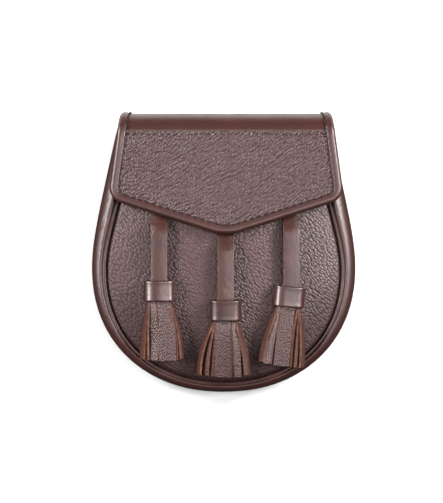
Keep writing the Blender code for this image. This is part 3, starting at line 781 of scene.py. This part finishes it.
BINDING_STEP = 5.0
BINDING_STEP_AHEAD = 8.0
STITCH_ACROSS = 6.7
STITCH_BITE = 0.55
STITCH_BITE_WIDTH = 0.9
SIDE_PITCH = 4.3
LOWER_PITCH = 5.2
LOWER_PITCH_S = FLAP_SIDE[2][1] - 6
BINDING_INNER = ((6.4, 0.25), (6.2, 0.60), (5.6, 0.70), (4.6, 0.84))
BINDING_OUTER = ((3.5, 1.10), (2.4, 1.12), (1.2, 0.60), (0.35, -0.35))
BINDING_BACK = ((0.6, -0.2), (2.2, -1.05), (6.4, -1.1))

edge_line = flap_edge(pace=0.9)
edge_lengths = lengths_along([point for point, _ in edge_line])


def stitch_beat(i):
    """1 where a stitch sinks into the binding and 0 between two, at a place along the edge."""
    pitch = SIDE_PITCH if edge_line[i][0].y < LOWER_PITCH_S else LOWER_PITCH
    return 0.5 + 0.5 * math.cos(2 * math.pi * edge_lengths[i] / pitch)


def binding_ring(i):
    point, inward = edge_line[i]
    stepped = eased((point.y - SEAM_S + BINDING_STEP_AHEAD) / BINDING_STEP)
    top = HINGE_THICK + (FLAP_THICK - HINGE_THICK) * stepped + GAP
    bite = STITCH_BITE * stitch_beat(i)
    profile = []
    for across, lift in BINDING_INNER + BINDING_OUTER:
        sink = bite * bell(across - STITCH_ACROSS, STITCH_BITE_WIDTH)
        profile.append((across, top + lift - sink))
    profile.append((0.0, (top - GAP) / 2))
    profile += [(across, -GAP + lift) for across, lift in BINDING_BACK]
    profile += [(BINDING_WIDTH, -GAP), (BINDING_SLOT, -GAP)]
    profile += [(BINDING_SLOT, top), (BINDING_WIDTH, top)]
    ring = []
    for across, lift in profile:
        place = point + inward * across
        ring.append(flap_point(place.x, place.y, lift))
    return ring


binding_body = sleeve([binding_ring(i) for i in range(len(edge_line))])
binding = add_piece("edge_binding", binding_body, [calf], ["flap_binding"])
binding_round = binding.modifiers.new("rubbed_round", "SUBSURF")
binding_round.levels = 1
binding_round.render_levels = 1


# ---- Stitches ----
# Waxed linen thread, dyed nearly black, 1.2 mm thick. Each stitch shows as a short piece of
# thread that is pulled down into the leather at both ends.

THREAD = 1.2
THREAD_TWIST = 3.2
STITCH_FACES_ROUND = 8
STITCH_FACES_LONG = 6
ROW_STEPS = 80
BINDING_STITCH = 3.3
BINDING_STITCH_LIFT = 0.30
TOP_STITCH = 2.2
TOP_STITCH_SINK = 0.42
LOOP_STITCH = 2.3
LOOP_STITCH_PITCH = 3.4
LOOP_STITCH_ROWS = (19.8, 24.2)
LOOP_STITCH_INSET = 2.0
LAP_STITCH = 2.6
LAP_STITCH_PITCH = 4.2
LAP_STITCH_SINK = 0.1
LAP_STITCH_INSET = 3.0

# The thread's plies wind round each other in darker and lighter bands along its twist.
thread, thread_shader, thread_place = new_material("waxed_linen_thread", Roughness=0.7)
plies = {"Vector": thread_place, "Scale": per_mm(THREAD_TWIST), "Distortion": 2.0}
twist = add_node(thread, "TexWave", plies).outputs["Fac"]
feed(thread, thread_shader, Base_Color=blend(thread, twist, "0A0404", "150908"))


def sew(name, stitches):
    """One piece of a seam's stitches: the middle, direction, outward way and length of each."""
    mesh = bmesh.new()
    for middle, direction, out, length in stitches:
        along = direction.normalized()
        across = out.cross(along).normalized()
        turned = Matrix((along, across, along.cross(across))).transposed().to_4x4()
        shape = Matrix.Diagonal((length / 2, THREAD / 2, THREAD / 2, 1))
        bmesh.ops.create_uvsphere(
            mesh,
            u_segments=STITCH_FACES_ROUND,
            v_segments=STITCH_FACES_LONG,
            radius=1,
            matrix=Matrix.Translation(middle) @ turned @ shape,
        )
    add_piece(name, mesh, [thread])


def row_of_stitches(place, half, out_z, pitch, length):
    """Stitches at an even pitch along a row from -half to half, which runs where place says."""
    points = [place((k / ROW_STEPS - 1) * half) for k in range(2 * ROW_STEPS + 1)]
    total = lengths_along(points)
    count = int(total[-1] / pitch)
    stitches = []
    for k in range(count):
        i, middle = find_length(points, total, (k + 0.5) * total[-1] / count)
        stitches.append((middle, points[i] - points[i - 1], Vector((0, 0, out_z)), length))
    return stitches


binding_stitches = []
for i in range(1, len(edge_line) - 1):
    if stitch_beat(i) > max(stitch_beat(i - 1), stitch_beat(i + 1)) - 1e-9:
        point, inward = edge_line[i]
        spots = []
        for place, side in (edge_line[i - 1], edge_line[i], edge_line[i + 1]):
            spot = place + side * STITCH_ACROSS
            spots.append(flap_point(spot.x, spot.y, FLAP_THICK + BINDING_STITCH_LIFT))
        raised = flap_point(point.x, point.y, 1.0) - flap_point(point.x, point.y, 0.0)
        binding_stitches.append((spots[1], spots[2] - spots[0], raised, BINDING_STITCH))
sew("binding_stitches", binding_stitches)


def top_seam(across):
    return flap_point(across, TOP_STITCH_S, FLAP_THICK - TOP_STITCH_SINK)


top_half = flap_side(TOP_STITCH_S, BINDING_WIDTH)
sew(
    "hinge_seam_stitches",
    row_of_stitches(top_seam, top_half, out_z=1, pitch=TOP_STITCH_PITCH, length=TOP_STITCH),
)

loop_stitches = []
loop_half = LOOP_WIDTH / 2 - LOOP_STITCH_INSET
for side in (-1, 1):
    for foot in (-1, 1):
        for row in LOOP_STITCH_ROWS:
            start = Vector((side * LOOP_X, LOOP_Y + foot * row, LOOP_FOOT_Z))
            loop_stitches += row_of_stitches(
                lambda across: start + Vector((across, 0, 0)),
                loop_half,
                out_z=-1,
                pitch=LOOP_STITCH_PITCH,
                length=LOOP_STITCH,
            )
sew("loop_stitches", loop_stitches)


def lap_seam(across):
    return flap_point(across, HINGE_REAR_S + LAP_STITCH_INSET, HINGE_THICK - LAP_STITCH_SINK)


lap_half = flap_side(HINGE_REAR_S, SHEET_INSET) - LAP_STITCH_INSET
sew(
    "hinge_lap_stitches",
    row_of_stitches(lap_seam, lap_half, out_z=-1, pitch=LAP_STITCH_PITCH, length=LAP_STITCH),
)


# ---- Tassel straps ----
# Three straps of a thinner hide, its fine grain flattened by the press, cut 12 mm wide with their
# edges dyed. Each is sewn to the front under the flap and comes out from there to its tassel.

Tassel = namedtuple("Tassel", "side x y height turn pitch roll droop strap_x strap_top")
TASSELS = (
    Tassel("left", -46.1, -20.6, 38.7, 0.4, 1.6, -3.0, 0.6, -46.3, 45.0),
    Tassel("centre", 1.3, -34.2, 40.3, 0.0, 4.6, 0.0, 2.6, 1.6, 31.0),
    Tassel("right", 47.5, -24.6, 38.7, -5.2, 1.6, 3.0, 0.6, 48.7, 45.0),
)
STRAP_WIDTH = 11.9
STRAP_THICK = 1.8
STRAP_EASE = 0.1  # what the strap is thinner by and lies off the front
STRAP_STEPS = 18
STRAP_CLIMB = 15.0
STRAP_BEND = 0.6
STRAP_TURN = 0.7  # the share of the tassel's turn that it takes
STRAP_AHEAD = 1.0
STRAP_CLEAR = 2.0
STRAP_ENTRY = 0.5
STRAP_IN_COLLAR = 8.0
COLLAR_HALF_WIDTH = 11.2
COLLAR_HALF_DEPTH = 5.8
COLLAR_LENGTH = 14.8
COLLAR_WALL = 1.6
COLLAR_POWER = 2.2

strap_leather = calf_leather("pressed_strap_leather", "3A1E18", "2F1612", roughness=0.40, grain=1.6)


def tassel_matrix(tassel):
    """Carries (across, up, outwards) from the top middle of a collar's back into place, in mm."""
    turn = Euler((math.radians(tassel.pitch), math.radians(tassel.roll), math.radians(tassel.turn)))
    matrix = turn.to_matrix().to_4x4()
    matrix.translation = Vector((tassel.x, tassel.y, tassel.height))
    return matrix


def make_strap(tassel):
    """A strap from its root: flat on the front, then up a slope that bends level at the collar."""
    into = tassel_matrix(tassel)
    collar_across = (into.to_3x3() @ Vector((1, 0, 0))).normalized()
    half = STRAP_WIDTH / 2
    edge = min(  # of the flap above the strap, and the lower of two places
        (spot for spot, _ in edge_line),
        key=lambda spot: abs(spot.x + FLAP_SHIFT - tassel.strap_x) - 0.01 * spot.y,
    )
    climb_from = FOLD_Y - edge.y + STRAP_AHEAD
    entry = into @ Vector((0, STRAP_ENTRY, COLLAR_HALF_DEPTH))
    path = []
    for k in range(STRAP_STEPS + 1):
        y = tassel.strap_top + (entry.y + STRAP_CLEAR - tassel.strap_top) * k / STRAP_STEPS
        low, high = (panel_height(tassel.strap_x + side, y) for side in (-half, half))
        front = max((low + high) / 2, panel_height(tassel.strap_x, y))
        on_front = front + GAP + STRAP_THICK / 2 + STRAP_EASE
        along = min(1.0, max(0.0, (climb_from - y) / STRAP_CLIMB))
        bend = 0.5 * max(0.0, along - STRAP_BEND) ** 2 / (1 - STRAP_BEND)
        climb = (along - bend) / (0.5 + 0.5 * STRAP_BEND)
        across = Vector((STRAP_WIDTH, 0, high - low)).normalized()
        height = on_front + (max(on_front, entry.z) - on_front) * climb
        centre = Vector((tassel.strap_x, y, height))
        path.append((centre, across.lerp(collar_across, climb * STRAP_TURN)))
    for down in (-STRAP_ENTRY, STRAP_IN_COLLAR):
        path.append((into @ Vector((0, -down, COLLAR_HALF_DEPTH)), collar_across))
    centres = curve_through([centre for centre, _ in path], steps=4)
    sides = curve_through([across for _, across in path], steps=4)
    rings = []
    for i, centre in enumerate(centres):
        across = sides[i].normalized()
        out = across.cross(direction_at(centres, i)).normalized()
        out = out if out.z > 0 else -out
        rings.append(strap_ring(centre, across, out, STRAP_WIDTH, STRAP_THICK - STRAP_EASE))
    replaced = [f"tassel_strap_{tassel.side}"]
    add_piece(f"strap_{tassel.side}", sleeve(rings), [strap_leather], replaced)


for tassel in TASSELS:
    make_strap(tassel)


# ---- Tassel collars ----
# A short sleeve round each tassel's head: patent-finished calf, wrapped tight and glued, so that
# it shines along both of its shoulders. Its two edges are turned.

COLLAR_STEPS = 72
COLLAR_LIP = 0.8
COLLAR_WAIST = 0.12
collar_leather = calf_leather(
    "glazed_collar_leather", "3E1F1B", "2E1613", roughness=0.38, coat=0.2, grain=0.6
)


def head_point(cut, down, angle):
    """A point round a tassel's head, cut back from the collar's outside, in the head's own axes."""
    cos, sin = math.cos(angle), math.sin(angle)
    u = math.copysign(abs(cos) ** (2 / COLLAR_POWER), cos) * (COLLAR_HALF_WIDTH - cut)
    w = math.copysign(abs(sin) ** (2 / COLLAR_POWER), sin) * (COLLAR_HALF_DEPTH - cut)
    return Vector((u, -down, COLLAR_HALF_DEPTH + w))


def make_collar(tassel):
    into = tassel_matrix(tassel)
    lip = [(COLLAR_WALL, 0.6), (COLLAR_WALL - 0.5, 0.05)]
    for k in range(5):
        angle = math.pi / 2 * k / 4
        lip.append((COLLAR_LIP * (1 - math.sin(angle)), COLLAR_LIP * (1 - math.cos(angle))))
    waist = [(COLLAR_WAIST, COLLAR_LENGTH * share) for share in (0.12, 0.3, 0.5, 0.7, 0.88)]
    profile = lip + waist + [(cut, COLLAR_LENGTH - down) for cut, down in reversed(lip)]
    rings = []
    for k in range(COLLAR_STEPS):
        angle = 2 * math.pi * (k + 0.5) / COLLAR_STEPS
        rings.append([into @ head_point(cut, down, angle) for cut, down in profile])
    replaced = [f"tassel_collar_{tassel.side}"]
    add_piece(f"collar_{tassel.side}", sleeve(rings, closed=True), [collar_leather], replaced)


for tassel in TASSELS:
    make_collar(tassel)


# ---- Tassel fringes ----
# Each fringe is one piece of pebbled hide, cut into strips and rolled up inside its collar. The
# knife left the strips' edges and ends raw: orange-brown and fibrous, because the dye did not go
# through the hide.

Strip = namedtuple(
    "Strip", "root_u root_w root_face root_width tip_u tip_w tip_face tip_width length"
)
FRINGES = {
    "left": (
        Strip(-4.7, 1.8, 24, 5.0, -3.6, 2.6, 20, 5.8, 57.2),
        Strip(2.6, 1.8, -4, 9.4, 5.7, 3.1, -2, 12.8, 57.4),
        Strip(-7.4, 0.0, 80, 3.0, -9.2, -0.6, 66, 7.0, 56.8),
        Strip(-7.3, -0.4, 80, 2.4, -12.3, -1.2, 56, 7.0, 56.4),
        Strip(7.4, 0.0, -80, 3.0, 13.6, -0.4, -66, 7.0, 56.8),
        Strip(7.6, 0.0, -80, 2.4, 15.8, -0.8, -78, 6.4, 56.2),
        Strip(-3.5, -1.6, 0, 6.0, -4.6, -3.2, 0, 8.4, 55.4),
        Strip(3.5, -1.6, 0, 6.0, 5.0, -3.2, 0, 8.4, 55.2),
    ),
    "centre": (
        Strip(-1.5, 1.8, 0, 10.6, -1.4, 3.2, 0, 13.4, 55.4),
        Strip(6.0, 1.2, -34, 4.4, 8.8, 3.6, -27, 5.6, 55.2),
        Strip(-7.2, 0.2, 76, 3.0, -10.2, 0.2, 48, 6.6, 55.0),
        Strip(-7.6, 0.0, 80, 2.8, -14.6, -0.2, 42, 7.0, 54.6),
        Strip(-7.6, -0.2, 84, 2.4, -19.1, -0.8, 66, 7.0, 54.2),
        Strip(7.6, 0.0, -80, 2.4, 15.6, -0.6, -46, 7.2, 54.4),
        Strip(-3.5, -1.6, 0, 6.0, -5.2, -3.2, 0, 8.0, 53.4),
        Strip(3.5, -1.6, 0, 6.0, 5.0, -3.2, 0, 8.0, 53.8),
    ),
    "right": (
        Strip(-0.8, 1.8, 0, 12.0, -1.5, 3.2, 0, 11.0, 57.4),
        Strip(-7.0, 1.0, 50, 3.2, -11.0, 2.2, 25, 5.8, 56.6),
        Strip(-7.6, 0.0, 80, 2.4, -15.4, -0.6, 62, 7.0, 55.8),
        Strip(7.0, 0.2, -80, 3.0, 6.2, 0.2, -60, 6.6, 57.2),
        Strip(7.4, 0.0, -80, 3.0, 10.0, -0.2, -44, 6.4, 57.6),
        Strip(7.6, -0.2, -80, 2.4, 13.5, -1.0, -62, 7.0, 57.4),
        Strip(-3.5, -1.6, 0, 6.0, -5.2, -3.2, 0, 8.0, 55.0),
        Strip(3.5, -1.6, 0, 6.0, 4.6, -3.2, 0, 8.0, 55.4),
    ),
}
STRIP_THICK = 1.6
STRIP_BOW = 2.0  # over 1, the strips leave the head slanting and end hanging straight
STRIP_STEPS = 22
STRIP_CLOSER = 1.4  # over 1, the steps are shorter at the collar
STRIP_ROOT = 9.0
STRIP_WIDENS = 6  # full width is reached a sixth of the way down
STRIP_SWAY = 0.6
STRIP_CURL = 0.35
CURL_HALF_WAVES = 2.2
ON_EDGE = 40  # degrees that a strip's tip is turned by
CUT_ROWS = (11, 0, 1, 5, 6, 7)  # of a strip's faces: its two narrow sides
HEAD_STEPS = 32
HEAD_TOP = 2.0
HEAD_SHORT = 0.6
RAW_FIBRE = 0.35
RAW_STAIN = 5.0

# The second colour is the painted shade in the creases between the pebbles.
strip_hide = pebbled_hide(
    "pebbled_hide_strips", "3F2524", "2B1A18", roughness=0.34, turn=60, depth=0.47, size=0.62
)
# Strips on edge take a lighter, redder copy of the hide: painted light in the shade between them.
on_edge_painted_light = pebbled_hide(
    "on_edge_strips_painted_light", "472820", "371D17", roughness=0.5, turn=60, depth=0.5, size=0.62
)

# The cut through the hide: undyed, tanned orange-brown, matt, with its fibres torn by the knife.
raw_edge, raw_shader, raw_place = new_material("raw_cut_edge", Roughness=0.75)
raw_fibres = clouds(raw_edge, raw_place, RAW_FIBRE, Detail=3.0)
raw_mixed = multiply(raw_edge, raw_fibres, clouds(raw_edge, raw_place, RAW_STAIN, Detail=2.0))
raw_share = stretch(raw_edge, raw_mixed, start=0.12, end=0.38)
raw_tint = blend(raw_edge, raw_share, "2E1710", "6C4430")
raw_torn = emboss(raw_edge, raw_fibres, rise=0.2, strength=0.6)
feed(raw_edge, raw_shader, Base_Color=raw_tint, Normal=raw_torn)


def strip_faces(strip):
    """The raw edge on a strip's two narrow sides and its ends, and the hide on its faces."""
    # Strips on edge take the copy of the hide with painted light.
    face = 2 if abs(strip.tip_face) > ON_EDGE else 0
    return lambda column, row: 1 if column < 0 or row in CUT_ROWS else face


def strip_rings(tassel, strip, sway):
    """A strip's sections: it leaves the head straight, then widens, bows outwards and droops."""
    into = tassel_matrix(tassel)
    rings = []
    clear = COLLAR_LENGTH + GAP
    hanging = strip.length - clear
    steps = [clear + hanging * (k / STRIP_STEPS) ** STRIP_CLOSER for k in range(STRIP_STEPS + 1)]
    for down in (STRIP_ROOT, *steps):
        free = max(0.0, (down - clear) / hanging)
        spread = 1 - (1 - free) ** STRIP_BOW
        u = strip.root_u + (strip.tip_u - strip.root_u) * spread
        w = strip.root_w + (strip.tip_w - strip.root_w) * spread - tassel.droop * free**2
        u += sway * math.sin(math.pi * free) * STRIP_SWAY
        w += abs(sway) * math.sin(CURL_HALF_WAVES * math.pi * free) * STRIP_CURL
        face = math.radians(strip.root_face + (strip.tip_face - strip.root_face) * spread)
        wide = min(1.0, STRIP_WIDENS * free)
        width = strip.root_width + (strip.tip_width - strip.root_width) * wide
        across = Vector((math.cos(face), 0, math.sin(face)))
        out = Vector((-math.sin(face), 0, math.cos(face)))
        centre = Vector((u, -down, COLLAR_HALF_DEPTH + w))
        ring = strap_ring(centre, across, out, width, STRIP_THICK, rounding=0.25)
        rings.append([into @ point for point in ring])
    return rings


def make_fringe(tassel):
    mesh = bmesh.new()
    draw = random.Random(tassel.side)
    into = tassel_matrix(tassel)
    core = []
    for down in (HEAD_TOP, COLLAR_LENGTH - HEAD_SHORT):
        angles = [2 * math.pi * k / HEAD_STEPS for k in range(HEAD_STEPS)]
        core.append([into @ head_point(COLLAR_WALL + GAP, down, angle) for angle in angles])
    bodies = [sleeve(core)]
    for strip in FRINGES[tassel.side]:
        rings = strip_rings(tassel, strip, draw.uniform(-1, 1))
        bodies.append(sleeve(rings, faces=strip_faces(strip)))
    for body in bodies:
        part = mesh_data("strip", body)
        mesh.from_mesh(part)
        bpy.data.meshes.remove(part)
    materials = [strip_hide, raw_edge, on_edge_painted_light]
    replaced = [f"tassel_fringe_{tassel.side}"]
    add_piece(f"fringe_{tassel.side}", mesh, materials, replaced)


for tassel in TASSELS:
    make_fringe(tassel)


# ---- Press stud ----
# One plain stud of antiqued brass, closed between the front and the flap, where nothing of it
# shows. It holds the flap down.

# The brass was darkened and has worn bright again in patches.
brass, brass_shader, brass_place = new_material("antiqued_brass", Metallic=1.0, Roughness=0.35)
brass_wear = clouds(brass, brass_place, size=2.0)
feed(brass, brass_shader, Base_Color=blend(brass, brass_wear, "7A6138", "B09355"))
dress_solid("flap_stud", brass)


# ---- Floor, light and camera ----
# A white photographer's table. Two soft boxes hang over it on each side and a long narrow one
# overhead, and a sheet of light lies behind the top of the pouch. The camera is straight above.

TABLE_SIZE = 6.0
CAMERA_HEIGHT = 2.0
FOCUS_HEIGHT = 0.022
PHOTO_SIZE = (443, 503)
PHOTO_MIDDLE = (223.65, 251.75)  # the photo's pixel that the object's origin lies under
PIXEL = 0.7255 * MM
SENSOR = 36.0
WORLD_LIGHT = 0.14
BOX_DISTANCE = 1.5
BOX_AIM = Vector((0, 0, 0.03))

# Matt white board, a little cloudy.
table, table_shader, table_place = new_material(
    "matt_white_table", Roughness=0.9, Specular_IOR_Level=0.2
)
table_shade = add_node(table, "TexNoise", {"Vector": table_place, "Scale": 3.0}).outputs["Fac"]
feed(table, table_shader, Base_Color=blend(table, table_shade, "C4C4C4", "C8C8C8"))
floor_mesh = bmesh.new()
bmesh.ops.create_grid(floor_mesh, x_segments=1, y_segments=1, size=TABLE_SIZE / 2)
floor = add_object("table_top", mesh_data("table_top", floor_mesh, [table]))
floor.visible_glossy = False  # the leather in the photo mirrors no white below it
floor.visible_diffuse = False
bpy.context.scene.view_settings.view_transform = "Standard"
bpy.context.scene.view_settings.gamma = 0.85  # the photo's harder contrast

world = bpy.data.worlds.new("studio")
world.use_nodes = True
world.node_tree.nodes["Background"].inputs["Color"].default_value = (1, 1, 1, 1)
world.node_tree.nodes["Background"].inputs["Strength"].default_value = WORLD_LIGHT
bpy.context.scene.world = world


def hang_light(name, width, length, power, place, rotation):
    light = bpy.data.lights.new(name, "AREA")
    light.shape = "RECTANGLE"
    light.size, light.size_y = width, length
    light.energy = power
    lamp = add_object(name, light)
    lamp.location = place
    lamp.rotation_euler = rotation


# Each soft box: degrees from straight above and of its bearing, width, length and power.
SOFT_BOXES = (
    ("right_box", 60.0, 27.0, 0.5, 0.4, 42.0),
    ("right_fill", 50.0, 0.0, 0.34, 0.34, 13.0),
    ("left_box", 60.0, 153.0, 0.5, 0.4, 33.0),
    ("left_fill", 50.0, 180.0, 0.34, 0.34, 19.0),
    ("overhead_strip", 14.0, 0.0, 0.34, 1.2, 15.0),
)
for box_name, from_zenith, bearing, box_width, box_length, box_power in SOFT_BOXES:
    zenith, turn = math.radians(from_zenith), math.radians(bearing)
    level = math.sin(zenith)
    away = Vector((level * math.cos(turn), level * math.sin(turn), math.cos(zenith)))
    rotation = (-away).to_track_quat("-Z", "Y").to_euler()
    hang_light(box_name, box_width, box_length, box_power, away * BOX_DISTANCE + BOX_AIM, rotation)

# A sheet of light on the table behind the top, which the fold shows as its bright upper line.
hang_light(
    "light_sheet",
    width=0.5,
    length=0.1,
    power=0.42,
    place=(0, 0.165, 0.001),
    rotation=(math.pi, 0, 0),
)

camera_data = bpy.data.cameras.new("copy_camera")
camera_data.sensor_width = SENSOR
camera_data.lens = SENSOR * (CAMERA_HEIGHT - FOCUS_HEIGHT) / (PHOTO_SIZE[1] * PIXEL)
camera = add_object("copy_camera", camera_data)
camera.location = (
    (PHOTO_SIZE[0] / 2 - PHOTO_MIDDLE[0]) * PIXEL,
    (PHOTO_MIDDLE[1] - PHOTO_SIZE[1] / 2) * PIXEL,
    CAMERA_HEIGHT,
)
bpy.context.scene.camera = camera
